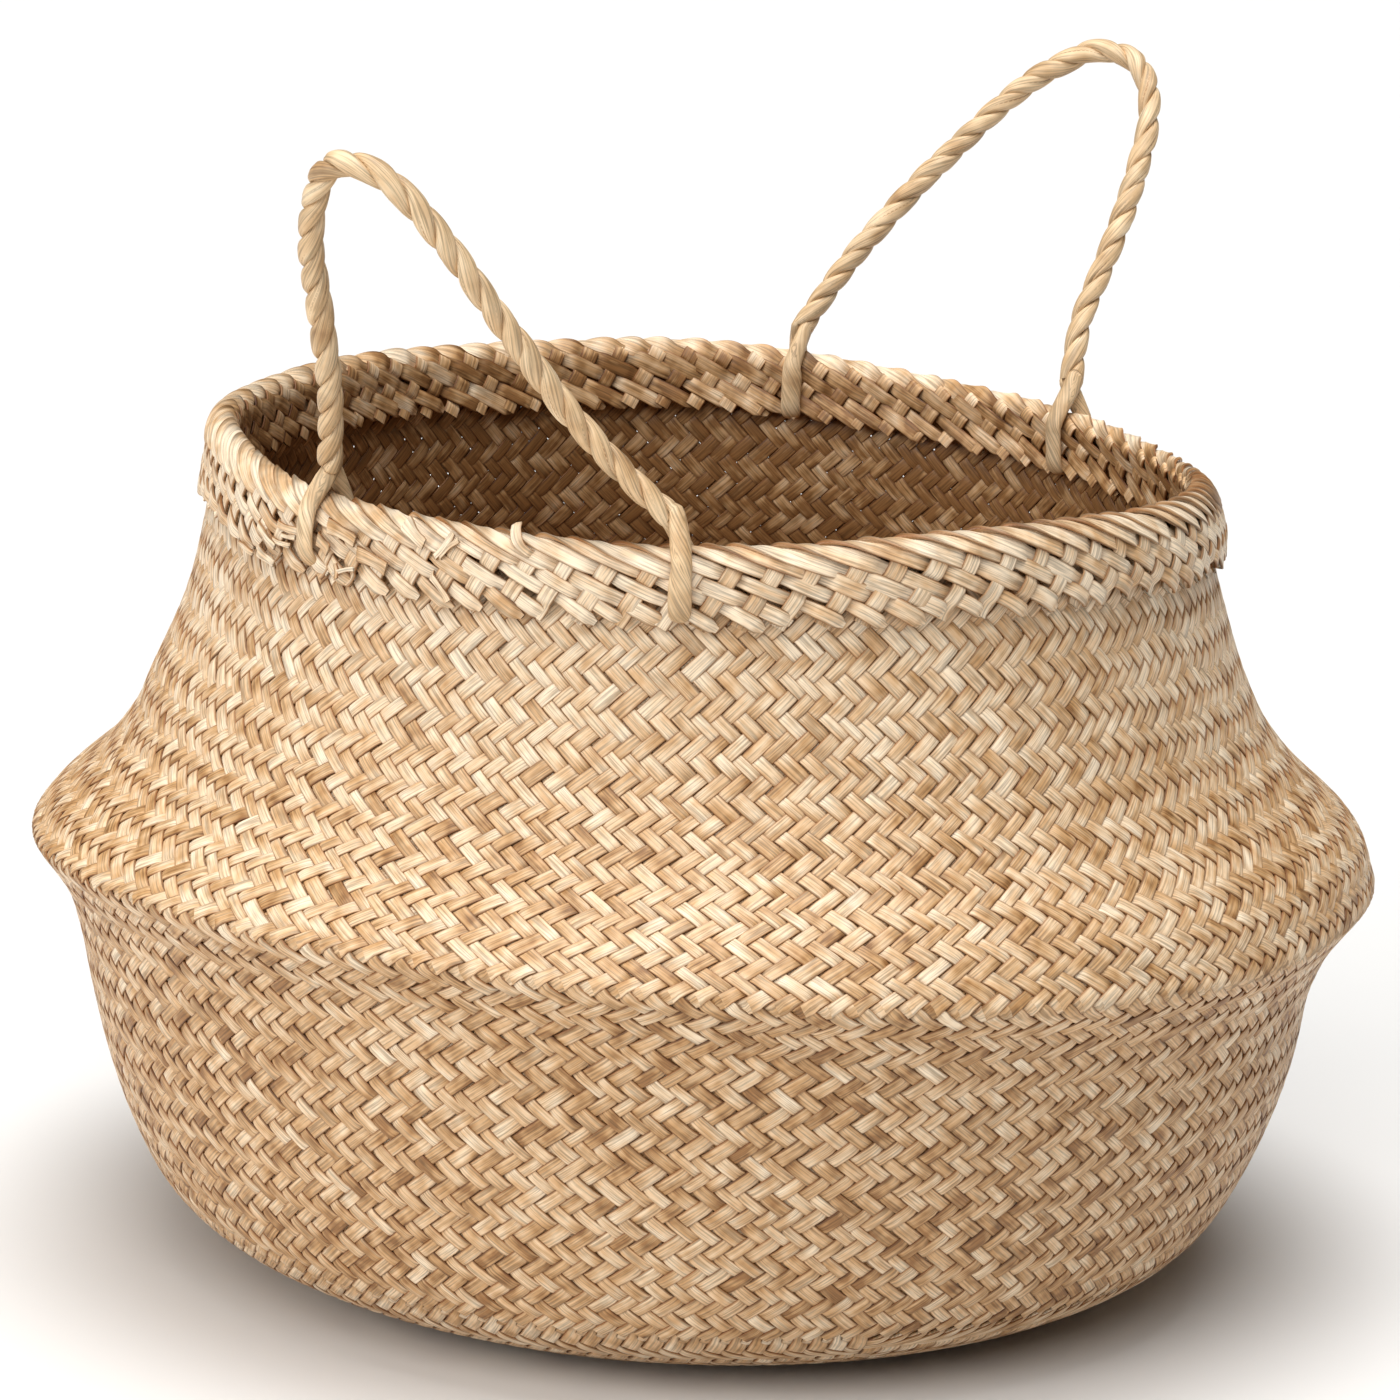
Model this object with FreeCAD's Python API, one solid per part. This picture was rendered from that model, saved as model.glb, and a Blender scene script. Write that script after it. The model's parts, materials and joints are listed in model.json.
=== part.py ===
"""Seagrass belly basket: a plaited bowl with a folded belly, a narrower neck, a braided collar and two rope handles.

Frame: millimetres, +Z up, origin at the middle of the face the basket stands on.
The front handle is towards -Y and the back handle towards +Y.
"""

import FreeCAD, Part
import math
import os

from FreeCAD import Vector

# Woven wall -----------------------------------------------------------------------------
WALL = 2.2                    # thickness of the plaited wall, two crossing strips
BASE_RADIUS = 84.0            # flat part the basket stands on
MAT_EDGE_HEIGHT = 1.9         # where the base mat meets the turn-up
TURN_UP_HEIGHT = 36.5         # top of the rounded bottom edge
BELLY_RADIUS = 170.0          # the fold round the middle, the widest place
BELLY_HEIGHT = 108.0
NECK_START_HEIGHT = 150.0     # below this the wall folds in when the top is pushed down
NECK_TOP_RADIUS = 128.0
NECK_TOP_HEIGHT = 203.5
FOLD_GAP = 0.3                # between the folding wall and the neck

# Outer outline of the wall as (radius, height), from the base to the fold and from the fold to the rim
LOWER_OUTLINE = [
    (BASE_RADIUS, 0.0),
    (106.0, 2.6),
    (125.0, 10.5),
    (136.0, 21.0),
    (144.0, TURN_UP_HEIGHT),
    (150.0, 53.0),
    (154.0, 70.0),
    (157.0, 84.0),
    (161.0, 96.0),
    (BELLY_RADIUS, BELLY_HEIGHT),
]
UPPER_OUTLINE = [
    (BELLY_RADIUS, BELLY_HEIGHT),
    (161.5, 120.0),
    (152.0, 131.0),
    (144.5, 142.0),
    (140.0, NECK_START_HEIGHT),
    (134.5, 165.0),
    (131.0, 181.0),
    (NECK_TOP_RADIUS, NECK_TOP_HEIGHT),
]

# Braided collar, outside and inside the rim ----------------------------------------------
COLLAR_THICKNESS = 2.4
COLLAR_BOTTOM = 194.5
COLLAR_SEAT_RADIUS = 129.6    # outside of the wall at the collar's bottom, with a hair of room
COLLAR_CLEARANCE = 0.1        # keeps the bands off the sloping wall
BORDER_HEIGHT = 4.5           # the twisted edge on top of the wall and both bands
TAILS = 90                    # cut strip ends under each band
TAIL_LENGTH = 5.0
TAIL_WIDTH = 4.4
TAIL_THICKNESS = 1.2
TAIL_SLANT = 35.0             # degrees from upright
TAIL_SKIP = 3.5               # degrees either side of a rope end where its ply takes the tail's place

# Rope handles ----------------------------------------------------------------------------
ROPE_DIAMETER = 6.6
PLY_DIAMETER = 4.0            # one of the two plies that part at each end of a rope
HANDLE_HALF_ANGLE = 20.0      # from the handle's middle to where an end straddles the rim
HINGE_RISE = 4.2              # rope's turning point above the border
PLY_TOP_DROP = 6.6            # ply ends stop this far below the turning point
PLY_CLEARANCE = 0.4
PLY_LOOP_BOTTOM = 191.8       # where the ply goes through the wall, just under the collar
PLY_CORNER_RADIUS = 4.0
FRONT_LEAN = 30.0             # degrees that the handle stands out from upright
BACK_LEAN = 34.0
ARC_SHARE = 0.45              # share of the shorter run that an arc takes up

# Middle line of each rope in its own leaning plane, as (along the rim, up the plane), from end to end
FRONT_ROUTE = [
    (-39.0, 24.5),
    (-36.0, 50.0),
    (-32.0, 73.0),
    (-25.0, 91.0),
    (-16.8, 96.8),
    (-6.0, 93.0),
    (6.0, 77.0),
    (22.0, 45.5),
    (36.5, 20.0),
]
BACK_ROUTE = [
    (37.5, 18.0),
    (24.5, 41.0),
    (9.3, 64.0),
    (-5.0, 87.0),
    (-15.5, 95.5),
    (-25.5, 100.5),
    (-37.5, 98.0),
    (-44.5, 84.5),
    (-46.0, 61.0),
    (-44.0, 38.0),
    (-41.8, 18.0),
]

# Derived sizes ---------------------------------------------------------------------------
OUTER_BAND_OUTER_RADIUS = COLLAR_SEAT_RADIUS + COLLAR_THICKNESS
INNER_BAND_OUTER_RADIUS = NECK_TOP_RADIUS - WALL - COLLAR_CLEARANCE
INNER_BAND_INNER_RADIUS = INNER_BAND_OUTER_RADIUS - COLLAR_THICKNESS
RIM_MIDDLE_RADIUS = (OUTER_BAND_OUTER_RADIUS + INNER_BAND_INNER_RADIUS) / 2
HINGE_HEIGHT = NECK_TOP_HEIGHT + BORDER_HEIGHT + HINGE_RISE
HANDLE_HALF_WIDTH = RIM_MIDDLE_RADIUS * math.sin(math.radians(HANDLE_HALF_ANGLE))
HINGE_DISTANCE = RIM_MIDDLE_RADIUS * math.cos(math.radians(HANDLE_HALF_ANGLE))
ROPE_END_ANGLES = {
    "front_handle_left_end": 270.0 - HANDLE_HALF_ANGLE,
    "front_handle_right_end": 270.0 + HANDLE_HALF_ANGLE,
    "back_handle_right_end": 90.0 - HANDLE_HALF_ANGLE,
    "back_handle_left_end": 90.0 + HANDLE_HALF_ANGLE,
}


def save(name, shape):
    """Write one node and say what it is."""
    shape.exportStep(f"parts/{name}.step")
    state = "valid" if shape.isValid() else "NOT VALID"
    print(f"{name}: {shape.Volume / 1000:.1f} cm3, {len(shape.Solids)} solid(s), {state}")


def outline_curve(outline):
    """Smooth curve through the outline's points in the XZ plane."""
    curve = Part.BSplineCurve()
    curve.interpolate([Vector(radius, 0, height) for radius, height in outline])
    return curve


def parameter_at_height(curve, height):
    """Where a curve that rises all the way reaches a height."""
    low = curve.FirstParameter
    high = curve.LastParameter
    for _ in range(60):
        middle = (low + high) / 2
        if curve.value(middle).z < height:
            low = middle
        else:
            high = middle
    return (low + high) / 2


def wall_ring(curve, bottom, top):
    """Ring of woven wall between two heights, WALL thick, turned about Z."""
    first = parameter_at_height(curve, bottom)
    last = parameter_at_height(curve, top)
    steps = 12
    outer_points = []
    inner_points = []
    for step in range(steps + 1):
        parameter = first + (last - first) * step / steps
        point = curve.value(parameter)
        along = curve.tangent(parameter)[0]
        inward = Vector(-along.z, 0, along.x)
        outer_points.append(point)
        inner_points.append(point + inward * WALL)
    inner_points[-1] = Vector(inner_points[-1].x, 0, outer_points[-1].z)
    inner_points[0] = Vector(inner_points[0].x, 0, outer_points[0].z)
    if bottom == 0.0:
        inner_points[0] = outer_points[0] + Vector(0, 0, WALL)
    outer = Part.BSplineCurve()
    outer.interpolate(outer_points)
    inner = Part.BSplineCurve()
    inner.interpolate(inner_points)
    edges = [
        outer.toShape(),
        Part.makeLine(outer_points[-1], inner_points[-1]),
        inner.toShape(),
        Part.makeLine(inner_points[0], outer_points[0]),
    ]
    face = Part.Face(Part.Wire(Part.sortEdges(edges)[0]))
    return face.revolve(Vector(0, 0, 0), Vector(0, 0, 1), 360)


def band(inner_radius, outer_radius, bottom, height):
    """Plain upright ring."""
    outer = Part.makeCylinder(outer_radius, height, Vector(0, 0, bottom))
    inner = Part.makeCylinder(inner_radius, height, Vector(0, 0, bottom))
    return outer.cut(inner)


def border_ring():
    """Domed ring on top of the rim: flat below, round above."""
    low = NECK_TOP_HEIGHT
    inner = Vector(INNER_BAND_INNER_RADIUS, 0, low)
    outer = Vector(OUTER_BAND_OUTER_RADIUS, 0, low)
    crown = Vector(RIM_MIDDLE_RADIUS, 0, low + BORDER_HEIGHT)
    dome = Part.Arc(outer, crown, inner).toShape()
    face = Part.Face(Part.Wire([Part.makeLine(inner, outer), dome]))
    return face.revolve(Vector(0, 0, 0), Vector(0, 0, 1), 360)


def tail_group(radius, outward):
    """Slanted strip ends in a row under a band, all the way round, as separate solids."""
    tails = []
    for number in range(TAILS):
        angle = 360.0 * number / TAILS
        if any(abs(angle - rope) < TAIL_SKIP for rope in ROPE_END_ANGLES.values()):
            continue
        length = TAIL_LENGTH * (0.8 + 0.2 * math.sin(2.7 * number))
        tail = Part.makeBox(TAIL_WIDTH, TAIL_THICKNESS, length, Vector(-TAIL_WIDTH / 2, 0, -length))
        if not outward:
            tail.translate(Vector(0, -TAIL_THICKNESS, 0))
        tail.rotate(Vector(0, 0, 0), Vector(0, 1, 0), TAIL_SLANT)
        reach = TAIL_WIDTH / 2 * math.sin(math.radians(TAIL_SLANT))
        tail.translate(Vector(0, radius, COLLAR_BOTTOM - reach - COLLAR_CLEARANCE))
        tail.rotate(Vector(0, 0, 0), Vector(0, 0, 1), angle - 90.0)
        tails.append(tail)
    return Part.makeCompound(tails)


def rounded_path(points, radius=None):
    """Straight runs joined by tangent arcs. Each arc is as large as its two runs allow, or of the given radius."""
    edges = []
    radii = []
    start = points[0]
    for before, corner, after in zip(points, points[1:], points[2:]):
        back = (before - corner).normalize()
        on = (after - corner).normalize()
        half_turn = (math.pi - back.getAngle(on)) / 2
        shorter = min((before - corner).Length, (after - corner).Length)
        setback = ARC_SHARE * shorter
        if radius is not None:
            setback = radius * math.tan(half_turn)
        arc_radius = setback / math.tan(half_turn)
        first = corner + back * setback
        last = corner + on * setback
        to_centre = (back + on).normalize()
        centre = corner + to_centre * (arc_radius / math.cos(half_turn))
        middle = centre - to_centre * arc_radius
        edges.append(Part.makeLine(start, first))
        edges.append(Part.Arc(first, middle, last).toShape())
        radii.append(arc_radius)
        start = last
    edges.append(Part.makeLine(start, points[-1]))
    return Part.Wire(edges), radii


def tube(path, diameter):
    """Round solid along a path of runs and arcs."""
    start = path.Edges[0]
    point = start.valueAt(start.FirstParameter)
    direction = start.tangentAt(start.FirstParameter)
    circle = Part.Wire(Part.makeCircle(diameter / 2, point, direction))
    return path.makePipeShell([circle], True, True)


def handle_rope(name, route, lean, side):
    """One rope handle with ball ends on its turning axis. side is -1 for the front, +1 for the back."""
    tilt = math.radians(lean)
    along = Vector(-side, 0, 0)
    up = Vector(0, side * math.sin(tilt), math.cos(tilt))
    middle = Vector(0, side * HINGE_DISTANCE, HINGE_HEIGHT)
    first_side = math.copysign(HANDLE_HALF_WIDTH, route[0][0])
    flat = [(first_side, 0.0)] + route + [(-first_side, 0.0)]
    points = [middle + along * sideways + up * height for sideways, height in flat]
    path, radii = rounded_path(points)
    rope = tube(path, ROPE_DIAMETER)
    expected = path.Length * math.pi * (ROPE_DIAMETER / 2) ** 2
    print(f"{name}: length {path.Length:.0f} mm, volume is {rope.Volume / expected:.3f} of section times length")
    print("  radii " + " ".join(f"{radius:.0f}" for radius in radii))
    for end in (points[0], points[-1]):
        rope = rope.fuse(Part.makeSphere(ROPE_DIAMETER / 2, end))
    return rope


def end_loop(angle):
    """U of one ply: down outside the collar, squeezed through the weave under it and up inside."""
    clear = PLY_DIAMETER / 2 + PLY_CLEARANCE
    outside = OUTER_BAND_OUTER_RADIUS + clear
    inside = INNER_BAND_INNER_RADIUS - clear
    top = HINGE_HEIGHT - PLY_TOP_DROP
    points = [
        Vector(outside, 0, top),
        Vector(outside, 0, PLY_LOOP_BOTTOM),
        Vector(inside, 0, PLY_LOOP_BOTTOM),
        Vector(inside, 0, top),
    ]
    path, _ = rounded_path(points, PLY_CORNER_RADIUS)
    loop = tube(path, PLY_DIAMETER)
    loop.rotate(Vector(0, 0, 0), Vector(0, 0, 1), angle)
    return loop


def main():
    os.makedirs("parts", exist_ok=True)
    lower = outline_curve(LOWER_OUTLINE)
    upper = outline_curve(UPPER_OUTLINE)

    disc = Part.makeCylinder(BASE_RADIUS, WALL)
    mat_edge = wall_ring(lower, 0.0, MAT_EDGE_HEIGHT)
    save("base_mat", disc.fuse(mat_edge).removeSplitter())
    save("base_turn_up", wall_ring(lower, MAT_EDGE_HEIGHT, TURN_UP_HEIGHT))
    save("lower_wall", wall_ring(lower, TURN_UP_HEIGHT, BELLY_HEIGHT))
    save("shoulder_wall", wall_ring(upper, BELLY_HEIGHT, NECK_START_HEIGHT - FOLD_GAP))

    save("neck_wall", wall_ring(upper, NECK_START_HEIGHT, NECK_TOP_HEIGHT))
    for name, angle in ROPE_END_ANGLES.items():
        save(name, end_loop(angle))

    collar_height = NECK_TOP_HEIGHT - COLLAR_BOTTOM
    outer_band = band(COLLAR_SEAT_RADIUS, OUTER_BAND_OUTER_RADIUS, COLLAR_BOTTOM, collar_height)
    inner_band = band(INNER_BAND_INNER_RADIUS, INNER_BAND_OUTER_RADIUS, COLLAR_BOTTOM, collar_height)
    save("outer_collar", outer_band)
    save("inner_collar", inner_band)
    save("rim_border", border_ring())
    save("outer_collar_tails", tail_group(OUTER_BAND_OUTER_RADIUS - TAIL_THICKNESS, True))
    save("inner_collar_tails", tail_group(INNER_BAND_OUTER_RADIUS, False))

    save("front_handle_rope", handle_rope("front rope", FRONT_ROUTE, FRONT_LEAN, -1))
    save("back_handle_rope", handle_rope("back rope", BACK_ROUTE, BACK_LEAN, 1))
    print(f"hinges at y +-{HINGE_DISTANCE:.2f}, z {HINGE_HEIGHT:.2f}, ends at x +-{HANDLE_HALF_WIDTH:.2f}")


main()
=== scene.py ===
"""Looks of the seagrass belly basket: each strip of its wall and collar, and the plies of its handles."""

import bpy
import json
import math
import numpy as np
from mathutils import Matrix, Vector

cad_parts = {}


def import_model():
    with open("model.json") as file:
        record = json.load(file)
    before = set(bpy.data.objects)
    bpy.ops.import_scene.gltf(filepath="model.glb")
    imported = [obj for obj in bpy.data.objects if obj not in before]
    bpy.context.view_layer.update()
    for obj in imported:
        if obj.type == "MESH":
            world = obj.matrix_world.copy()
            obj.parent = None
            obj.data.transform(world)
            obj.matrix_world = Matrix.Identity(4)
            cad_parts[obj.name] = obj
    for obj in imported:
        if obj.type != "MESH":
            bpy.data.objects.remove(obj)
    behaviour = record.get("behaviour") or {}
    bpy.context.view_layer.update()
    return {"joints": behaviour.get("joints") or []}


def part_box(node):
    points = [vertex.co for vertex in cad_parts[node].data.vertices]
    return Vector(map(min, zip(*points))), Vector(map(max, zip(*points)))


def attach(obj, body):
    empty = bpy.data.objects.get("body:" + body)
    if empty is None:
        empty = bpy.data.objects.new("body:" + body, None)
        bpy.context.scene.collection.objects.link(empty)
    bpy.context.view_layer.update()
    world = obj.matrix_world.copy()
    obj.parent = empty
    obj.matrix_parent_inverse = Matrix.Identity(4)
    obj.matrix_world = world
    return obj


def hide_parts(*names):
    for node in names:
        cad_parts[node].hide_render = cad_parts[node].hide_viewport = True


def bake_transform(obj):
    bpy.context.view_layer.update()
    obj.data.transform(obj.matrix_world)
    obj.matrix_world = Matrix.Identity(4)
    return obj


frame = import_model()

MM = 0.001
rng = np.random.default_rng(7)

# Places taken from the frame ----------------------------------------------------------------
BELLY_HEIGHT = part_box("shoulder_wall")[0].z
BELLY_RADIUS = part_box("shoulder_wall")[1].x
COLLAR_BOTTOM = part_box("outer_collar")[0].z
CROWN_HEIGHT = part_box("rim_border")[1].z
BAND_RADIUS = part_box("outer_collar")[1].x
LOOP_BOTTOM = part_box("front_handle_left_end")[0].z
HINGES = {joint["name"]: Vector(joint["pos_m"]) for joint in frame["joints"] if "pos_m" in joint}

# Plaited wall -------------------------------------------------------------------------------
WALL = 2.2 * MM                 # thickness of two crossing strips
STRIP_PITCH = 3.43 * MM         # spacing of the strips, which is also their width
STRIP_THICKNESS = 0.8 * MM
INNER_PAINTED_SHADE = 0.45            # painted shade: how much further along the tones, towards brown, a strip's inner face is, for the shade inside the basket
STRIP_RISE = 0.46 * MM          # how far a strip swings either side of the middle of the wall
STRANDS_PER_SIDE = 43           # strips each way through one side of the woven base square
STRANDS = 4 * STRANDS_PER_SIDE  # strips each way round the wall
STRIP_UNEVENNESS = 0.45         # most that a strip is moved off its even place, in strips, before smoothing
EVEN_CELLS = 10                 # cells above the base over which the strips leave their even places
STEEPEST_SINE = 0.98            # sine of the steepest slope that a strip can have
MIDDLE_CLOSER = 1.16            # how much closer the strips lie in the middle of the base than at its edge
BASE_STRIP_WIDTH = 0.95 * STRIP_PITCH
# Pieces of the base, and between how many strips from its middle each holds those of one way
BASE_BANDS = (("middle", 0, 22), ("edge", 22, 42))
CREASE_SMOOTHING = 1.4 * MM
OUTLINE_SPACING = 0.25 * MM

# Unevenness of the hand-made shape ----------------------------------------------------------
NARROW_WAY = math.radians(25)   # the rim is narrowest in this direction
NARROWING = 6.3                 # millimetres that the rim is drawn in there, and let out across it
RIM_SHIFT = 0.8                 # millimetres that the rim is moved away from that end
STEADY_RADIUS = 20 * MM         # nearer the axis than this the dents fade away
# Shallow dents as (millimetres, waves round, radians per metre up, turn)
DENTS = [(0.9, 3, 14, 0.6), (0.7, 5, -25, 2.1), (0.45, 9, 40, 0.0)]
# Rise and fall of the rim and of the fold: the mean in millimetres, a ripple as (millimetres, waves round,
# turn), and (millimetres, degrees) of one wave round, of two, and for the rim of three
RIM_LIFT = 1.5
RIM_RIPPLE = (0.5, 7, 0.0)
RIM_WAVES = [(2.3, 142), (2.8, 57), (1.6, 53)]
FOLD_LIFT = 0.9
FOLD_RIPPLE = (0.6, 4, 1.0)
FOLD_WAVES = [(1.3, 112), (2.6, 190)]
# Swells and hollows of the wall as (size, height, reach) in millimetres, and which end of the narrow way they
# face
SWELLS = [
    (-4, 124, 8, -1),
    (-3, 136, 8, -1),
    (-1.5, 162, 22, -1),
    (-2, 80, 12, 1),
    (-1, 108, 6, 1),
    (4, 123, 11, 1),
    (1, 176, 18, 1),
    (2, 197, 7, 1),
]
# Painted light and shade by height, as (height in millimetres, step along the tones): browner low on the bowl
# as painted shade, paler up the neck as painted light
LIGHT_AND_SHADE_BY_HEIGHT = [(100.0, 0.1), (112.0, 0.0), (140.0, 0.0), (170.0, -0.13)]

# Outer outline as (radius, height) in millimetres: flat base, rounded bottom, bowl, then fold, shoulder, neck
LOWER_OUTLINE = [
    (84.0, 0.0),
    (104.3, 2.8),
    (123.3, 10.7),
    (135.2, 21.0),
    (143.6, 36.5),
    (149.6, 53.0),
    (154.0, 70.0),
    (157.0, 84.0),
    (161.0, 96.0),
    (BELLY_RADIUS / MM, BELLY_HEIGHT / MM),
]
UPPER_OUTLINE = [
    (BELLY_RADIUS / MM, BELLY_HEIGHT / MM),
    (161.5, 120.0),
    (152.0, 131.0),
    (144.5, 142.0),
    (140.0, 150.0),
    (134.5, 165.0),
    (131.0, 181.0),
    (128.0, 203.5),
]

# Braided collar -----------------------------------------------------------------------------
COLLAR_STRIPS = 90              # each way
COLLAR_STRIP_THICKNESS = 0.85 * MM
COLLAR_HALF_WIDTH = 1.92 * MM
COLLAR_CROSS_HALF_WIDTH = 2.15 * MM
COLLAR_SLOPE = math.radians(24)
COLLAR_CROSS_SLOPE = math.radians(60)
CROWN_SLOPE = math.radians(20)
TAIL_SLOPE = math.radians(33)

# Rope handles -------------------------------------------------------------------------------
ROPE_LEAD = 17.5 * MM           # one full turn of a ply
FRONT_LEAN = math.radians(30)
BACK_LEAN = math.radians(34)
# Control points of each rope's middle line in its own leaning plane, from wall to wall, as (along the rim,
# up the plane) in millimetres
FRONT_ROUTE = [
    (-46.5, 0.0),
    (-39.0, 24.5),
    (-35.5, 50.5),
    (-32.5, 74.0),
    (-24.5, 91.5),
    (-18.0, 95.5),
    (-7.0, 92.5),
    (3.5, 76.0),
    (18.0, 43.5),
    (31.5, 18.0),
    (48.0, 0.0),
]
BACK_ROUTE = [
    (36.0, 0.0),
    (33.0, 12.5),
    (21.5, 39.5),
    (8.0, 63.0),
    (-7.0, 86.0),
    (-17.5, 95.0),
    (-25.0, 100.0),
    (-38.0, 98.0),
    (-45.5, 85.0),
    (-46.5, 61.0),
    (-44.5, 37.5),
    (-41.5, 18.0),
    (-45.5, 0.0),
]

# Camera -------------------------------------------------------------------------------------
CAMERA_AZIMUTH = math.radians(25)
CAMERA_ELEVATION = math.radians(14.3)
CAMERA_DISTANCE = 1.483
CAMERA_TARGET = Vector((0, 0, 0.106))
CAMERA_ROLL = math.radians(2.64)
CAMERA_AIM_RIGHT = -0.0023
CAMERA_AIM_UP = 0.0358
CAMERA_LENS = 150.3
SENSOR = 36.0


# Meshes -------------------------------------------------------------------------------------
class Sheet:
    """A surface of revolution, made uneven by settle().

    place() puts points given as (angle, distance along the outline, height off it).
    """

    def __init__(self, radius, height):
        length = np.concatenate([[0], np.cumsum(np.hypot(np.diff(radius), np.diff(height)))])
        self.length = length
        self.radius = radius
        self.height = height
        slope_r = np.gradient(radius, length)
        slope_z = np.gradient(height, length)
        size = np.hypot(slope_r, slope_z)
        self.normal_r = slope_z / size
        self.normal_z = -slope_r / size

    def radius_at(self, along):
        return np.interp(along, self.length, self.radius)

    def height_at(self, along):
        return np.interp(along, self.length, self.height)

    def place(self, angle, along, off):
        out_r = np.interp(along, self.length, self.normal_r)
        out_z = np.interp(along, self.length, self.normal_z)
        radius = self.radius_at(along) + out_r * off
        height = self.height_at(along) + out_z * off
        return settle(np.stack([radius * np.cos(angle), radius * np.sin(angle), height], -1))


def rise_round(angle, lift, ripple, waves):
    """Millimetres that a ring of the basket is raised at each angle round it."""
    size, count, turn = ripple
    rise = lift + size * np.sin(count * angle + turn)
    for count, (size, turn) in enumerate(waves, 1):
        rise = rise + size * np.cos(count * angle + math.radians(turn))
    return rise


def settle(points):
    """Unevenness of a hand-made basket: dents, swells, an oval rim, and a rim and fold that aren't level."""
    x, y, z = points[..., 0], points[..., 1], points[..., 2]
    angle = np.arctan2(y, x)
    up = np.clip(z / BELLY_HEIGHT, 0, 1)
    above = np.clip((z - BELLY_HEIGHT) / (CROWN_HEIGHT - BELLY_HEIGHT), 0, 1)
    dents = sum(size * np.sin(count * angle + climb * z + turn) for size, count, climb, turn in DENTS)
    for size, height, reach, end in SWELLS:
        facing = 0.5 + 0.5 * end * np.cos(angle - NARROW_WAY)
        dents = dents + size * facing**2 * np.exp(-(((z / MM - height) / reach) ** 2))
    oval = -NARROWING * above**2 * np.cos(2 * (angle - NARROW_WAY))
    shift = -RIM_SHIFT * above**2 * np.cos(angle - NARROW_WAY)
    scale = 1 + MM * up * (dents + oval + shift) / np.maximum(np.hypot(x, y), STEADY_RADIUS)
    rim = rise_round(angle, RIM_LIFT, RIM_RIPPLE, RIM_WAVES)
    fold = rise_round(angle, FOLD_LIFT, FOLD_RIPPLE, FOLD_WAVES)
    lift = MM * (above * rim + up**2 * (1 - above) ** 3 * fold)
    return np.stack([x * scale, y * scale, z + lift], -1)


def smooth_line(points, steps=40):
    """Catmull-Rom curve through points of any dimension."""
    points = np.array(points, float)
    ends = np.vstack([2 * points[0] - points[1], points, 2 * points[-1] - points[-2]])
    t = np.linspace(0, 1, steps, endpoint=False)[:, None]
    spans = []
    for a, b, c, d in zip(ends, ends[1:], ends[2:], ends[3:]):
        square = (2 * a - 5 * b + 4 * c - d) * t**2
        cube = (3 * b - a - 3 * c + d) * t**3
        spans.append(0.5 * (2 * b + (c - a) * t + square + cube))
    return np.vstack(spans + [points[-1:]])


def evenly(line, spacing):
    """The same line with points at even spacing, and its length."""
    length = np.concatenate([[0], np.cumsum(np.linalg.norm(np.diff(line, axis=0), axis=1))])
    count = int(round(length[-1] / spacing))
    places = np.linspace(0, length[-1], count + 1)
    moved = [np.interp(places, length, line[:, axis]) for axis in range(line.shape[1])]
    return np.stack(moved, -1), length[-1]


def blur(values, reach):
    """Moving average that keeps the ends."""
    before = 2 * values[0] - values[reach:0:-1]
    after = 2 * values[-1] - values[-2:-reach - 2:-1]
    padded = np.concatenate([before, values, after])
    return np.convolve(padded, np.ones(2 * reach + 1) / (2 * reach + 1), "valid")


def wall_sheet():
    """Middle surface of the plaited wall, from the axis along the base and up to the rim."""
    line = np.vstack([[(0.0, 0.0)], smooth_line(LOWER_OUTLINE), smooth_line(UPPER_OUTLINE)]) * MM
    line, _ = evenly(line, OUTLINE_SPACING)
    reach = int(CREASE_SMOOTHING / OUTLINE_SPACING)
    for _ in range(2):
        line = np.stack([blur(line[:, 0], reach), blur(line[:, 1], reach)], -1)
    outer = Sheet(line[:, 0], line[:, 1])
    inset = WALL / 2
    return Sheet(outer.radius - outer.normal_r * inset, outer.height - outer.normal_z * inset)


# Cross-section of a flat strip as (across, up) in half widths and half thicknesses, and how many degrees each
# normal leans from straight up
STRIP_SECTION = [
    (-1.0, 0.0, -82),
    (-0.9, 0.86, -12),
    (0.0, 1.0, 0),
    (0.9, 0.86, 12),
    (1.0, 0.0, 82),
    (0.9, -0.86, 168),
    (0.0, -1.0, 180),
    (-0.9, -0.86, 192),
]


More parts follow.
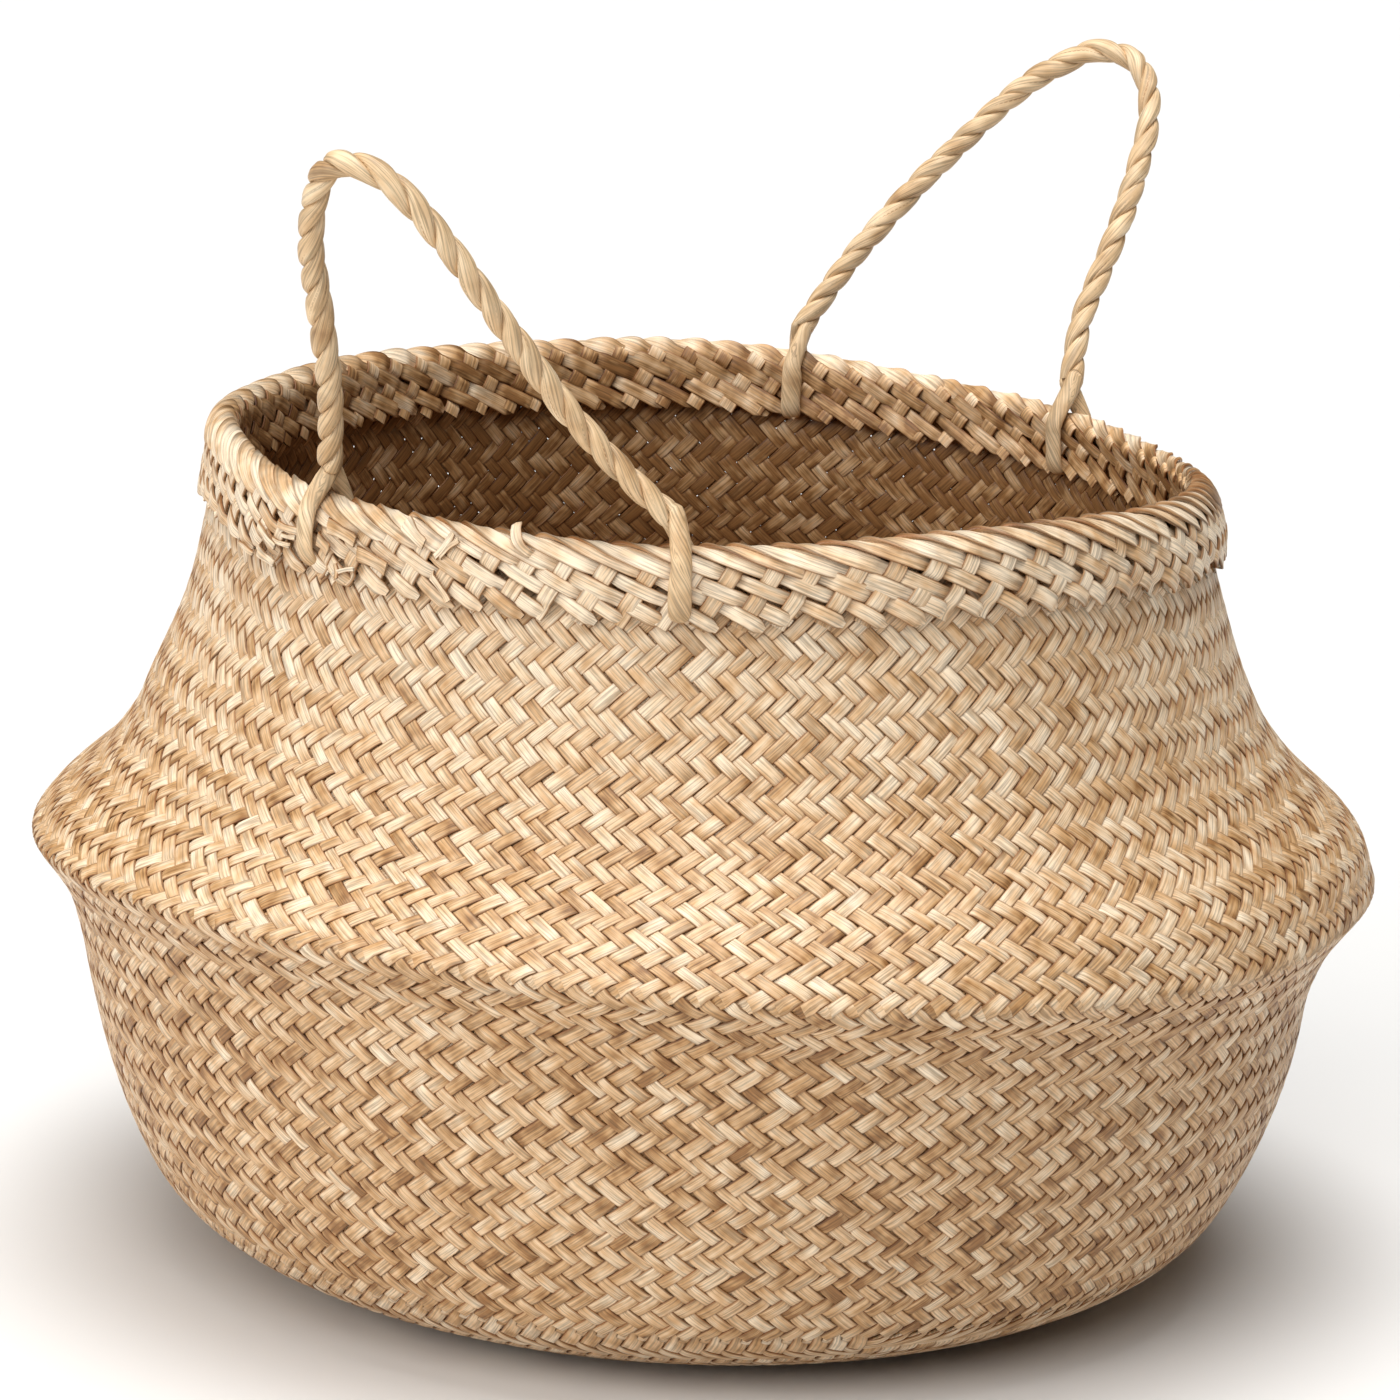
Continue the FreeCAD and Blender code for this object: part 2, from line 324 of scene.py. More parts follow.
def grid_mesh(name, points, normals, strip_uv, edge_uv, tone_light_and_shade):
    """One closed tube per strand, capped, from points shaped (strand, sample, round the section, 3).

    The strip, edge and tone values go with the points and become the UV layers that the material reads. The
    tone values hold painted light and shade besides tone, and the edge values place painted shade at the
    edges.
    """
    strands, samples, sides = points.shape[:3]
    index = np.arange(strands * samples * sides).reshape(strands, samples, sides)
    turned = np.roll(index, -1, axis=2)
    quads = np.stack([index[:, :-1], index[:, 1:], turned[:, 1:], turned[:, :-1]], -1).reshape(-1, 4)
    starts = index[:, 0, :]
    ends = index[:, -1, ::-1]
    caps = np.vstack([starts, ends])
    mesh = bpy.data.meshes.new(name)
    mesh.vertices.add(index.size)
    mesh.vertices.foreach_set("co", points.astype(np.float32).ravel())
    corners = np.concatenate([quads.ravel(), caps.ravel()])
    mesh.loops.add(len(corners))
    mesh.loops.foreach_set("vertex_index", corners.astype(np.int32))
    sizes = np.concatenate([np.full(len(quads), 4), np.full(len(caps), sides)])
    mesh.polygons.add(len(sizes))
    mesh.polygons.foreach_set("loop_start", np.concatenate([[0], np.cumsum(sizes)[:-1]]).astype(np.int32))
    mesh.polygons.foreach_set("loop_total", sizes.astype(np.int32))
    mesh.polygons.foreach_set("use_smooth", np.ones(len(sizes), bool))
    tone_uv = np.stack([tone_light_and_shade, tone_light_and_shade], -1)
    for layer_name, values in (("Strip", strip_uv), ("Edge", edge_uv), ("Tone", tone_uv)):
        layer = mesh.uv_layers.new(name=layer_name)
        layer.data.foreach_set("uv", values.reshape(-1, 2)[corners].astype(np.float32).ravel())
    mesh.update(calc_edges=True)
    mesh.validate(clean_customdata=False)
    if normals is not None:
        mesh.normals_split_custom_set_from_vertices(normals.reshape(-1, 3).astype(np.float32))
    piece = bpy.data.objects.new(name, mesh)
    bpy.context.scene.collection.objects.link(piece)
    return piece


def unit(vectors):
    return vectors / np.maximum(np.linalg.norm(vectors, axis=-1, keepdims=True), 1e-12)


def section_normals(points, leans):
    """Normals round each section: leans are degrees from the strip's face towards its right edge."""
    along = unit(np.gradient(points.mean(2), axis=1))[:, :, None, :]
    widest = len(leans) // 2
    across = unit(points[:, :, widest] - points[:, :, 0])[:, :, None, :]
    face = unit(np.cross(along, across))
    lean = np.radians(np.array(leans))[None, None, :, None]
    return unit(np.cos(lean) * face + np.sin(lean) * across)


def tone_of_faces(inner_side, outer_tone=0.0):
    """Tone round a strip's section: painted shade on the inner faces, and outer_tone on the outer ones.
    inner_side says which side faces inwards: 1 the upper, -1 the lower.
    """
    return np.where(np.array(STRIP_SECTION)[:, 1] * inner_side > 0, INNER_PAINTED_SHADE, outer_tone)


def strip_piece(name, place, half_width, half_thickness, rise, strand_seed, tone_light_and_shade):
    """Flat strips. half_width, half_thickness and rise are shaped (strand, sample).

    place(across, off) gives the points for arrays shaped (strand, sample, round the section), and the last
    argument is how far along the tones the strips are moved there, which holds painted light and shade
    besides tone.
    """
    section = np.array(STRIP_SECTION)
    across = half_width[..., None] * section[:, 0]
    off = rise[..., None] + half_thickness[..., None] * section[:, 1]
    points = place(across, off)
    normals = section_normals(points, section[:, 2])
    steps = np.linalg.norm(np.diff(points.mean(2), axis=1), axis=-1)
    run = np.concatenate([np.zeros((len(steps), 1)), np.cumsum(steps, axis=1)], axis=1)
    run = (run + strand_seed[:, None] * 3.7)[..., None]
    seed = np.broadcast_to(strand_seed[:, None, None], across.shape)
    strip_uv = np.stack([across / (10 * MM) + 7 * seed, np.broadcast_to(run, across.shape) / (10 * MM)], -1)
    # Place across the strip, which the material darkens towards the edges as painted shade.
    edge_uv = np.stack([np.broadcast_to((section[:, 0] + 1) / 2, across.shape), seed], -1)
    return grid_mesh(name, points, normals, strip_uv, edge_uv, np.broadcast_to(tone_light_and_shade, across.shape))


# Plaiting -----------------------------------------------------------------------------------
WAVE_STEEPNESS = 2.6
FLOAT_SAMPLES = np.array([0.0, 0.22, 0.5, 1.0, 1.5, 1.78])


def wave(cell):
    """Over two and under two: +1 where a rising strip is outside, -1 where it is inside."""
    return np.tanh(WAVE_STEEPNESS * np.sin(math.pi / 2 * (cell + 0.5))) / math.tanh(WAVE_STEEPNESS)


def float_cells(first, last):
    """Sample places along a strip, in cells, closest where it dives under another."""
    starts = np.arange(math.floor((first + 0.5) / 2) - 1, math.ceil((last + 0.5) / 2) + 1) * 2 - 0.5
    cells = (starts[:, None] + FLOAT_SAMPLES).ravel()
    inside = cells[(cells > first + 0.01) & (cells < last - 0.01)]
    return np.concatenate([[first], inside, [last]])


def fade_in(value, reach):
    t = np.clip(value / reach, 0, 1)
    return t * t * (3 - 2 * t)


class Plait:
    """The net of strips on the wall. A cell counts the crossings from the edge of the woven base square."""

    def __init__(self, sheet):
        self.sheet = sheet
        self.spacing = 2 * math.pi / STRANDS
        start_radius = STRANDS * STRIP_PITCH / (2 * math.pi) * math.sqrt(2)
        widest = np.argmax(sheet.radius)
        self.start = float(np.interp(start_radius, sheet.radius[:widest], sheet.length[:widest]))
        along = sheet.length[sheet.length >= self.start]
        radius = sheet.radius_at(along)
        slope = np.arcsin(np.clip(STRANDS * STRIP_PITCH / (2 * math.pi * radius), 0, STEEPEST_SINE))
        turn = 1 / np.tan(slope) / radius
        swing = np.concatenate([[0], np.cumsum((turn[1:] + turn[:-1]) / 2 * np.diff(along))])
        self.along = along
        self.swing = swing
        self.slope = slope
        self.jitter = {family: self.uneven_places() for family in "AB"}
        self.seed = {family: rng.uniform(0, 1, STRANDS) for family in "AB"}
        self.last_cell = swing[-1] / self.spacing * 2
        climbing = sheet.length > self.start
        belly_along = float(np.interp(BELLY_HEIGHT, sheet.height[climbing], sheet.length[climbing]))
        self.belly_cell = round(float(np.interp(belly_along, along, swing)) / self.spacing * 2)

    def uneven_places(self):
        """How far each strip lies from its even place, in strips. Neighbours shift partly together."""
        shift = rng.uniform(-STRIP_UNEVENNESS, STRIP_UNEVENNESS, STRANDS)
        return (np.roll(shift, 1) + 2 * shift + np.roll(shift, -1)) / 4

    def centre(self, family, index, cell):
        """Angle of a strip's own line, for whole and part strip numbers."""
        low = np.floor(index).astype(int)
        share = index - low
        jitter = self.jitter[family]
        moved = jitter[low % STRANDS] * (1 - share) + jitter[(low + 1) % STRANDS] * share
        return self.spacing * (index + moved * fade_in(cell, EVEN_CELLS))

    def lines(self, family, cells):
        """Angle and distance along the wall of each strip's middle at each cell, and how wide it is there."""
        own = np.arange(STRANDS)[:, None] + 0.0 * cells[None, :]
        cell = np.broadcast_to(cells[None, :], own.shape)
        if family == "A":
            rising = self.centre("A", own, cell)
            falling = self.centre("B", own + cell, cell)
        else:
            falling = self.centre("B", own, cell)
            rising = self.centre("A", own - cell, cell)
        angle = (rising + falling) / 2
        swing = np.clip((falling - rising) / 2, 0, self.swing[-1])
        along = np.interp(swing, self.swing, self.along)
        jitter = self.jitter[family]
        widen = 1 + fade_in(cell, EVEN_CELLS) * ((np.roll(jitter, -1) - np.roll(jitter, 1)) / 2)[:, None]
        return angle, along, widen

    def wall_piece(self, name, family, first, last, quarter):
        """One way's strips over a quarter of the wall, between two cells."""
        cells = float_cells(first, last)
        angle, along, widen = self.lines(family, cells)
        chosen = slice(quarter * STRANDS_PER_SIDE, (quarter + 1) * STRANDS_PER_SIDE)
        angle, along, widen = angle[chosen], along[chosen], widen[chosen]
        slope = np.interp(along, self.along, self.slope)[..., None]
        radius = self.sheet.radius_at(along)[..., None]
        side = 1 if family == "A" else -1

        def place(across, off):
            around = angle[..., None] - np.sin(slope) * across / radius
            up = along[..., None] + side * np.cos(slope) * across
            return self.sheet.place(around, up, off)

        seed = self.seed[family][chosen]
        narrow = 0.995 + 0.015 * np.sin(along / (17 * MM) + 40 * seed[:, None])
        half_width = STRIP_PITCH / 2 * widen * narrow
        rise = side * STRIP_RISE * wave(cells)[None, :] + 0 * along
        half_thickness = np.full(along.shape, STRIP_THICKNESS / 2)
        # Painted light and shade by height on the outer faces: browner low on the bowl, paler up the neck.
        heights, shifts = np.transpose(LIGHT_AND_SHADE_BY_HEIGHT)
        shift = np.interp(self.sheet.height_at(along) / MM, heights, shifts)[..., None]
        # The inner faces of the wall get painted shade, browner inside the basket.
        return strip_piece(name, place, half_width, half_thickness, rise, seed, tone_of_faces(-1, shift))

    def base_place(self, u, v):
        """Angle and distance from the axis for a point of the flat woven square, in strip pitches."""
        x = (u - v) / math.sqrt(2)
        y = (u + v) / math.sqrt(2)
        reach = np.maximum(np.maximum(np.abs(x), np.abs(y)), 1e-6)
        half_side = STRANDS_PER_SIDE / math.sqrt(2)
        share = reach / half_side
        sideways = np.where(np.abs(x) >= np.abs(y), np.sign(x) * y, -np.sign(y) * x) / reach
        quarter = np.where(np.abs(x) >= np.abs(y), np.where(x > 0, 0, 2), np.where(y > 0, 1, 3))
        round_angle = quarter * math.pi / 2 + sideways * math.pi / 4
        flat_scale = self.start / half_side / MIDDLE_CLOSER
        blend = fade_in(share - 0.5, 0.5)
        px = (1 - blend) * x * flat_scale + blend * share * self.start * np.cos(round_angle)
        py = (1 - blend) * y * flat_scale + blend * share * self.start * np.sin(round_angle)
        return np.arctan2(py, px), np.hypot(px, py)

    def base_piece(self, name, family, nearest, farthest):
        """Strips of the flat base, one way, that lie between two distances from its middle, in strips."""
        lines = np.arange(2 * STRANDS_PER_SIDE) + 0.5 - STRANDS_PER_SIDE
        lines = lines[(np.abs(lines) > nearest) & (np.abs(lines) < farthest)]
        turned = -1 if family == "V" else 1
        runs = []
        rises = []
        for line in lines:
            reach = STRANDS_PER_SIDE - abs(line)
            half = float_cells(-reach, 0.0) + reach
            half = half[half > 0.3]
            run = np.concatenate([-half[::-1], [0.0], half])
            cell = np.abs(run) - reach
            runs.append(run)
            rises.append(turned * wave(cell) * -np.sign(run) * np.sign(line))
        longest = max(len(run) for run in runs)

        def as_long(rows):
            """The same rows, all with as many samples as the longest."""
            steps = [np.linspace(0, len(row) - 1, longest) for row in rows]
            return np.stack([np.interp(t, np.arange(len(row)), row) for t, row in zip(steps, rows)])

        rise = turned * STRIP_RISE * as_long(rises)
        run = as_long(runs)

        def place(across, off):
            sideways = lines[:, None, None] + across / STRIP_PITCH
            forward = run[..., None] + 0 * across
            u, v = (forward, sideways) if family == "V" else (sideways, forward)
            angle, along = self.base_place(u, v)
            return self.sheet.place(angle, along, turned * off)

        seed = rng.uniform(0, 1, len(lines))
        half_width = np.full(run.shape, BASE_STRIP_WIDTH / 2)
        half_thickness = np.full(run.shape, STRIP_THICKNESS / 2)
        # The faces inside the basket get painted shade.
        return strip_piece(name, place, half_width, half_thickness, rise, seed, tone_of_faces(-turned))


# Materials ----------------------------------------------------------------------------------
def srgb(red, green, blue):
    """Colour from screen values of 0 to 255, as the shader wants it."""
    linear = [((value / 255 + 0.055) / 1.055) ** 2.4 for value in (red, green, blue)]
    return (*linear, 1.0)


def add(tree, kind, inputs=None, **settings):
    """A shader node with its settings and its inputs, each a value or another node's output."""
    node = tree.nodes.new("ShaderNode" + kind)
    for key, value in settings.items():
        setattr(node, key, value)
    for key, value in (inputs or {}).items():
        if isinstance(value, bpy.types.NodeSocket):
            tree.links.new(value, node.inputs[key])
        else:
            node.inputs[key].default_value = value
    return node


def ramp(tree, factor, stops):
    """Colour ramp from (place, colour) stops."""
    node = add(tree, "ValToRGB", {"Fac": factor})
    elements = node.color_ramp.elements
    while len(elements) < len(stops):
        elements.new(0.5)
    for element, (place, colour) in zip(elements, stops):
        element.position = place
        element.color = colour
    return node.outputs["Color"]


def noise(tree, vector, scale, detail, shift=(0.0, 0.0, 0.0)):
    """Noise stretched by its own scale along each way of the strip."""
    mapping = add(tree, "Mapping", {"Vector": vector, "Scale": scale, "Location": shift})
    inputs = {"Vector": mapping.outputs["Vector"], "Scale": 1.0, "Detail": detail}
    return add(tree, "TexNoise", inputs, noise_dimensions="2D").outputs["Fac"]


def mix(tree, first, second, blend_type, factor=1.0):
    """Mixed colour of two outputs."""
    node = add(tree, "Mix", data_type="RGBA", blend_type=blend_type)
    node.inputs[0].default_value = factor
    tree.links.new(first, node.inputs[6])
    tree.links.new(second, node.inputs[7])
    return node.outputs[2]


def math_node(tree, operation, *values):
    return add(tree, "Math", dict(enumerate(values)), operation=operation).outputs[0]


def seagrass(name, tones, contrast, fibre_depth):
    """Dried seagrass: fibres along the strip, tones that change along and between strips, painted shade at
    the edges and in the rope's creases.
    """
    material = bpy.data.materials.new(name)
    material.use_nodes = True
    tree = material.node_tree
    tree.nodes.clear()
    strip = add(tree, "UVMap", uv_map="Strip").outputs["UV"]
    edge = add(tree, "SeparateXYZ", {"Vector": add(tree, "UVMap", uv_map="Edge").outputs["UV"]}).outputs
    shift = add(tree, "SeparateXYZ", {"Vector": add(tree, "UVMap", uv_map="Tone").outputs["UV"]}).outputs
    fibres = noise(tree, strip, scale=(24.0, 0.9, 1.0), detail=5.0)
    streaks = noise(tree, strip, scale=(9.0, 0.3, 1.0), detail=2.0, shift=(3.1, 0.0, 0.0))
    patches = noise(tree, strip, scale=(1.2, 1.3, 1.0), detail=2.0, shift=(9.0, 4.0, 0.0))

    tone = math_node(tree, "MULTIPLY_ADD", patches, contrast * 1.2, -contrast * 0.6)
    tone = math_node(tree, "MULTIPLY_ADD", streaks, contrast * 0.6, tone)
    tone = math_node(tree, "MULTIPLY_ADD", edge["Y"], contrast * 0.45, tone)
    # The Tone layer adds painted shade on inner faces and inside the collar, and painted light and shade by
    # height.
    tone = math_node(tree, "ADD", tone, shift["X"])
    tone = math_node(tree, "ADD", tone, 0.5 - contrast * 0.52)
    colour = ramp(tree, tone, tones)

    fibre_range = {"From Min": 0.34, "From Max": 0.58, "To Min": 0.6, "To Max": 1.08}
    fibre_shade = add(tree, "MapRange", {"Value": fibres, **fibre_range}).outputs["Result"]
    colour = mix(tree, colour, fibre_shade, "MULTIPLY")
    # Painted shade on the strips' edges and in the rope's creases.
    from_middle = math_node(tree, "ABSOLUTE", math_node(tree, "SUBTRACT", edge["X"], 0.5))
    edge_shade = ramp(tree, from_middle, EDGE_SHADES)
    colour = mix(tree, colour, edge_shade, "MULTIPLY")

    bump = add(tree, "Bump", {"Height": fibres, "Strength": 0.5, "Distance": fibre_depth})
    surface = {"Base Color": colour, "Roughness": 0.48, "Specular IOR Level": 0.42}
    shader = add(tree, "BsdfPrincipled", {**surface, "Normal": bump.outputs["Normal"]})
    add(tree, "OutputMaterial", {"Surface": shader.outputs["BSDF"]})
    return material


WALL_TONES = [
    (0.0, srgb(238, 217, 188)),
    (0.3, srgb(224, 196, 161)),
    (0.55, srgb(210, 173, 131)),
    (0.8, srgb(187, 145, 98)),
    (1.0, srgb(148, 105, 62)),
]
# Painted shade across a strip by distance from its middle, where 0.5 is its edge: darker where strips meet
# and dive under one another, and in a rope's creases
EDGE_SHADES = [(0.38, (1.0, 1.0, 1.0, 1.0)), (0.49, (0.42, 0.27, 0.15, 1.0))]
ROPE_TONES = [
    (0.0, srgb(236, 214, 180)),
    (0.4, srgb(219, 189, 149)),
    (0.75, srgb(196, 160, 117)),
    (1.0, srgb(150, 112, 74)),
]


# Braided collar -----------------------------------------------------------------------------
# Middle of the braid as (radius, height) in millimetres, from the outer tails over the rim to the inner ones
RIM_SECTION = [
    (131.7, 188.4),
    (131.2, 193.0),
    (131.0, 199.0),
    (130.6, 203.0),
    (129.6, 206.0),
    (127.65, 207.1),
    (125.7, 206.0),
    (124.7, 203.0),
    (124.5, 199.0),
    (124.3, 194.5),
    (123.9, 190.6),
]
LEAF_MIDDLE = 1.3 * MM          # middle of the long floats on the rim, outwards from the top
COLLAR_OUTSIDE_LIGHT = -0.3             # the collar's strips are paler outside as painted light, and browner inside as painted shade
COLLAR_INSIDE_SHADE = 0.25
TAIL_UNEVENNESS = 2.2 * MM      # how much shorter a tail can be cut than the longest
LOW_UNEVENNESS = 0.12           # most that a low strip lies off its even place, in strips
STEEP_UNEVENNESS = 0.08         # the same for a steep strip
LOW_RISE = 0.55 * MM            # how far a low strip swings either side of the middle of the braid
STEEP_RISE = 0.62 * MM          # the same for a steep strip
STEEP_STAND = 0.16 * MM         # how far out steep strips lie on the whole
DIVE_HALF_LENGTH = 0.4          # half the length of a low strip's dive under a steep one, in rows
TIP_CURL = 1.3 * MM             # how far a tail's tip curls in, over TIP_LENGTH
TIP_LENGTH = 1.6 * MM
CROWN_TILT = 0.4                # slope of the strips, across their width, on top of the rim
LOOSE_THICKNESS = 0.66 * MM
LOOSE_DEPTH = -0.5              # millimetres off the middle of the braid where a loose end is held
LOOSE_CLIMB = 2.2               # millimetres that it then comes out
# Loose and frayed ends on the front of the collar: (degrees, height) of the held end, then of the free end,
# then the width and how far the free end stands off, with heights, widths and stand-off in millimetres
LOOSE_ENDS = [
    (-122.0, 190.6, -115.9, 189.0, 3.1, 1.6),
    (-127.0, 187.6, -121.0, 186.8, 2.6, 1.2),
    (-109.6, 201.8, -104.0, 199.9, 3.6, 0.2),
    (-104.8, 197.2, -99.2, 195.4, 3.9, 1.4),
    (-110.5, 198.4, -107.4, 196.3, 3.4, 1.2),
    (-118.2, 198.6, -113.0, 198.4, 1.9, 0.6),
    (-117.0, 196.0, -113.2, 197.0, 1.3, 0.9),
    (-122.6, 196.4, -117.0, 192.8, 2.4, 0.7),
    (-119.0, 194.2, -113.6, 194.9, 1.5, 1.3),
    (-107.9, 189.6, -103.3, 193.9, 1.4, 1.8),
    (-107.0, 194.6, -106.0, 190.2, 1.2, 0.9),
    (-98.6, 206.6, -94.5, 202.6, 3.4, 1.5),
    (-94.0, 199.4, -91.4, 205.6, 1.6, 0.7),
    (-93.5, 199.0, -90.6, 204.6, 1.4, 1.0),
    (-94.4, 196.4, -91.6, 190.3, 1.9, 0.8),
    (-82.5, 203.6, -85.0, 207.2, 2.2, 1.8),
]


class Braid:
    """Collar braid: low strips run over the rim from tail to tail, and steep ones show in every second row.

    Rows are counted from the long floats on the rim. Length runs from the outer tails to the inner ones.
    """

    def __init__(self):
        line, self.length = evenly(smooth_line(RIM_SECTION) * MM, 0.3 * MM)
        self.sheet = Sheet(line[:, 0], line[:, 1])
        self.spacing = 2 * math.pi / COLLAR_STRIPS
        self.top = float(self.sheet.length[np.argmax(self.sheet.height)])
        self.crown = np.exp(-(((self.sheet.length - self.top) / (6.5 * MM)) ** 4))
        low = fade_in(COLLAR_BOTTOM + 1 * MM - self.sheet.height, 5 * MM)
        on_crown = (CROWN_SLOPE - COLLAR_SLOPE) * self.crown
        on_tails = (TAIL_SLOPE - COLLAR_SLOPE) * low
        self.slope = COLLAR_SLOPE + on_crown + on_tails
        self.low_turn = self.sum_up(1 / np.tan(self.slope) / self.sheet.radius)
        self.steep_turn = self.sum_up(1 / math.tan(COLLAR_CROSS_SLOPE) / self.sheet.radius)
        row = (self.low_turn + self.steep_turn) / self.spacing
        self.top_row = float(self.at(row, self.top - LEAF_MIDDLE))
        self.row = row - self.top_row

    def sum_up(self, values):
        steps = np.diff(self.sheet.length)
        return np.concatenate([[0], np.cumsum((values[1:] + values[:-1]) / 2 * steps)])

    def at(self, values, along):
        return np.interp(along, self.sheet.length, values)

    def tone(self, along):
        """How far along the tones the strips are moved, changing over the rim from painted light outside to
        painted shade inside.
        """
        share = fade_in(along - self.top + 1 * MM, 6 * MM)
        return (COLLAR_OUTSIDE_LIGHT + (COLLAR_INSIDE_SHADE - COLLAR_OUTSIDE_LIGHT) * share)[..., None]

    def low_strips(self):
        """Strips that pass over the rim in one long float and dive under a steep one in every second row."""
        number = np.arange(COLLAR_STRIPS)[:, None]
        starts = rng.uniform(0.0, TAIL_UNEVENNESS, (COLLAR_STRIPS, 1))
        ends = self.length - rng.uniform(0.0, TAIL_UNEVENNESS, (COLLAR_STRIPS, 1))
        along = starts + (ends - starts) * np.linspace(0, 1, 122)
        seed = rng.uniform(0, 1, COLLAR_STRIPS)
        aside = rng.uniform(-LOW_UNEVENNESS, LOW_UNEVENNESS, (COLLAR_STRIPS, 1))
        wobble = 0.1 * np.sin(along / (9 * MM) + 50 * seed[:, None]) + aside
        angle = (number + wobble) * self.spacing - self.at(self.low_turn, along)
        slope = self.at(self.slope, along)
        crown = self.at(self.crown, along)
        radius = self.sheet.radius_at(along)
        row = np.abs(self.at(self.row, along))
        from_dive = np.where(row < 1, 1, np.abs(row - 2 * np.round(row / 2)))
        lift = np.tanh(7 * (from_dive - DIVE_HALF_LENGTH))
        tip = np.minimum(along - starts, ends - along)
        lift = np.maximum(lift, 1 - 2 * fade_in(tip - 3 * MM, 2 * MM))
        curl = 1 - fade_in(tip, TIP_LENGTH)

        def place(across, off):
            around = angle[..., None] - np.sin(slope)[..., None] * across / radius[..., None]
            up = along[..., None] - np.cos(slope)[..., None] * across
            return self.sheet.place(around, up, off + CROWN_TILT * crown[..., None] * across)

        uneven = 0.97 + 0.1 * np.sin(31 * seed)[:, None]
        widen = 0.97 + 0.05 * lift + 0.16 * crown
        half_width = COLLAR_HALF_WIDTH * uneven * widen * (1 - 0.5 * curl**2)
        droop = 0.5 * (0.3 + seed[:, None]) * np.exp(-(((tip - 2.6 * MM) / (1.9 * MM)) ** 2))
        rise = LOW_RISE * lift + MM * droop - TIP_CURL * curl
        half_thickness = COLLAR_STRIP_THICKNESS / 2 * (1 + 0.5 * crown)
        tone = self.tone(along)
        return strip_piece("collar_low_strips", place, half_width, half_thickness, rise, seed, tone)

    def loose_strips(self):
        """Ends that have come out of the braid. Each starts under it and comes to lie over it."""
        from_angle, from_height, to_angle, to_height, width, stand = np.array(LOOSE_ENDS).T[..., None]
        share = np.linspace(0, 1, 26)[None, :]
        seed = rng.uniform(0, 1, len(LOOSE_ENDS))
        bend = 0.6 * np.sin(math.pi * share) * np.cos(40 * seed[:, None])
        angle = np.radians(from_angle + (to_angle - from_angle) * share)
        height = from_height + (to_height - from_height) * share + bend
        outside = self.sheet.length < self.top
        along = np.interp(height * MM, self.sheet.height[outside], self.sheet.length[outside])
        radius = self.sheet.radius_at(along)
        forward = unit(np.stack([np.gradient(angle, axis=1) * radius, np.gradient(along, axis=1)], -1))

        def place(across, off):
            around = angle[..., None] - forward[..., 1:] * across / radius[..., None]
            up = along[..., None] + forward[..., :1] * across
            return self.sheet.place(around, up, off)

        ripple = 0.25 * np.sin(9 * share + 30 * seed[:, None])
        rise = MM * (LOOSE_DEPTH + LOOSE_CLIMB * fade_in(share, 0.25) + (stand + ripple) * share**2)
        ragged = 1 - 0.3 * fade_in(share - 0.9, 0.1) * np.sin(60 * seed[:, None]) ** 2
        half_width = MM * width / 2 * ragged * (0.9 + 0.1 * np.sin(7 * share + 20 * seed[:, None]))
        half_thickness = np.full(along.shape, LOOSE_THICKNESS / 2)
        tone = self.tone(along)
        return strip_piece("collar_loose_ends", place, half_width, half_thickness, rise, seed, tone)

    def steep_strips(self, name, inside):
        """The steep strips of one side. Their tops are held under the long floats on the rim."""
        number = np.arange(COLLAR_STRIPS)[:, None]
        along = np.linspace(1.2 * MM, self.top, 60)[None, :] + 0.0 * number
        if inside:
            along = (self.length - along * (self.length - self.top) / self.top)[:, ::-1]
        seed = rng.uniform(0, 1, COLLAR_STRIPS)
        aside = rng.uniform(-STEEP_UNEVENNESS, STEEP_UNEVENNESS, (COLLAR_STRIPS, 1))
        angle = (number + aside - self.top_row) * self.spacing + self.at(self.steep_turn, along)
        radius = self.sheet.radius_at(along)

        def place(across, off):
            around = angle[..., None] - math.sin(COLLAR_CROSS_SLOPE) * across / radius[..., None]
            up = along[..., None] + math.cos(COLLAR_CROSS_SLOPE) * across
            return self.sheet.place(around, up, off)

        row = self.at(self.row, along)
        lift = np.where(np.abs(row) < 1, -1, np.tanh(2.2 * np.cos(math.pi * row) + 0.5))
        half_width = COLLAR_CROSS_HALF_WIDTH * (0.96 + 0.1 * np.sin(23 * seed))[:, None] + 0 * along
        half_thickness = COLLAR_STRIP_THICKNESS / 2 + 0 * along
        rise = STEEP_RISE * lift + STEEP_STAND
        return strip_piece(name, place, half_width, half_thickness, rise, seed, self.tone(along))


# Rope handles -------------------------------------------------------------------------------
PLY_SIDES = 24
PLY_OFFSET = 1.45 * MM          # middle of a ply from the middle of the rope
PLY_HALF_DEPTH = 1.7 * MM       # towards the middle of the rope
PLY_HALF_WIDTH = 2.35 * MM
LEG_HALF_DEPTH = 1.2 * MM       # a ply is pressed flat where it runs beside the collar
LEG_HALF_WIDTH = 2.6 * MM
FIBRE_SPIN = 0.7                # how much of the rope's twist the fibres on a ply turn back
FOLDS = (0.3, 2.2, 4.5)         # where a ply's folds lie round it
WALL_MIDDLE = BAND_RADIUS - 4.35 * MM
# A ply's end as (from the middle of the wall, above the bottom of the loop) in millimetres: from inside the
# wall, round the collar's lower edge and up beside it
LEG_PATH = [(0.0, 2.2), (3.6, 2.0), (5.9, 4.6), (6.6, 8.5), (6.4, 12.5), (5.4, 16.5)]
LEG_LENGTH = 13 * MM            # length of a ply's end that is pressed flat
LEG_SWELL = 8 * MM              # length over which it then swells to its full thickness
TIP_THICKNESS = 0.62            # thickness of a ply where it starts inside the wall, as a share of the whole


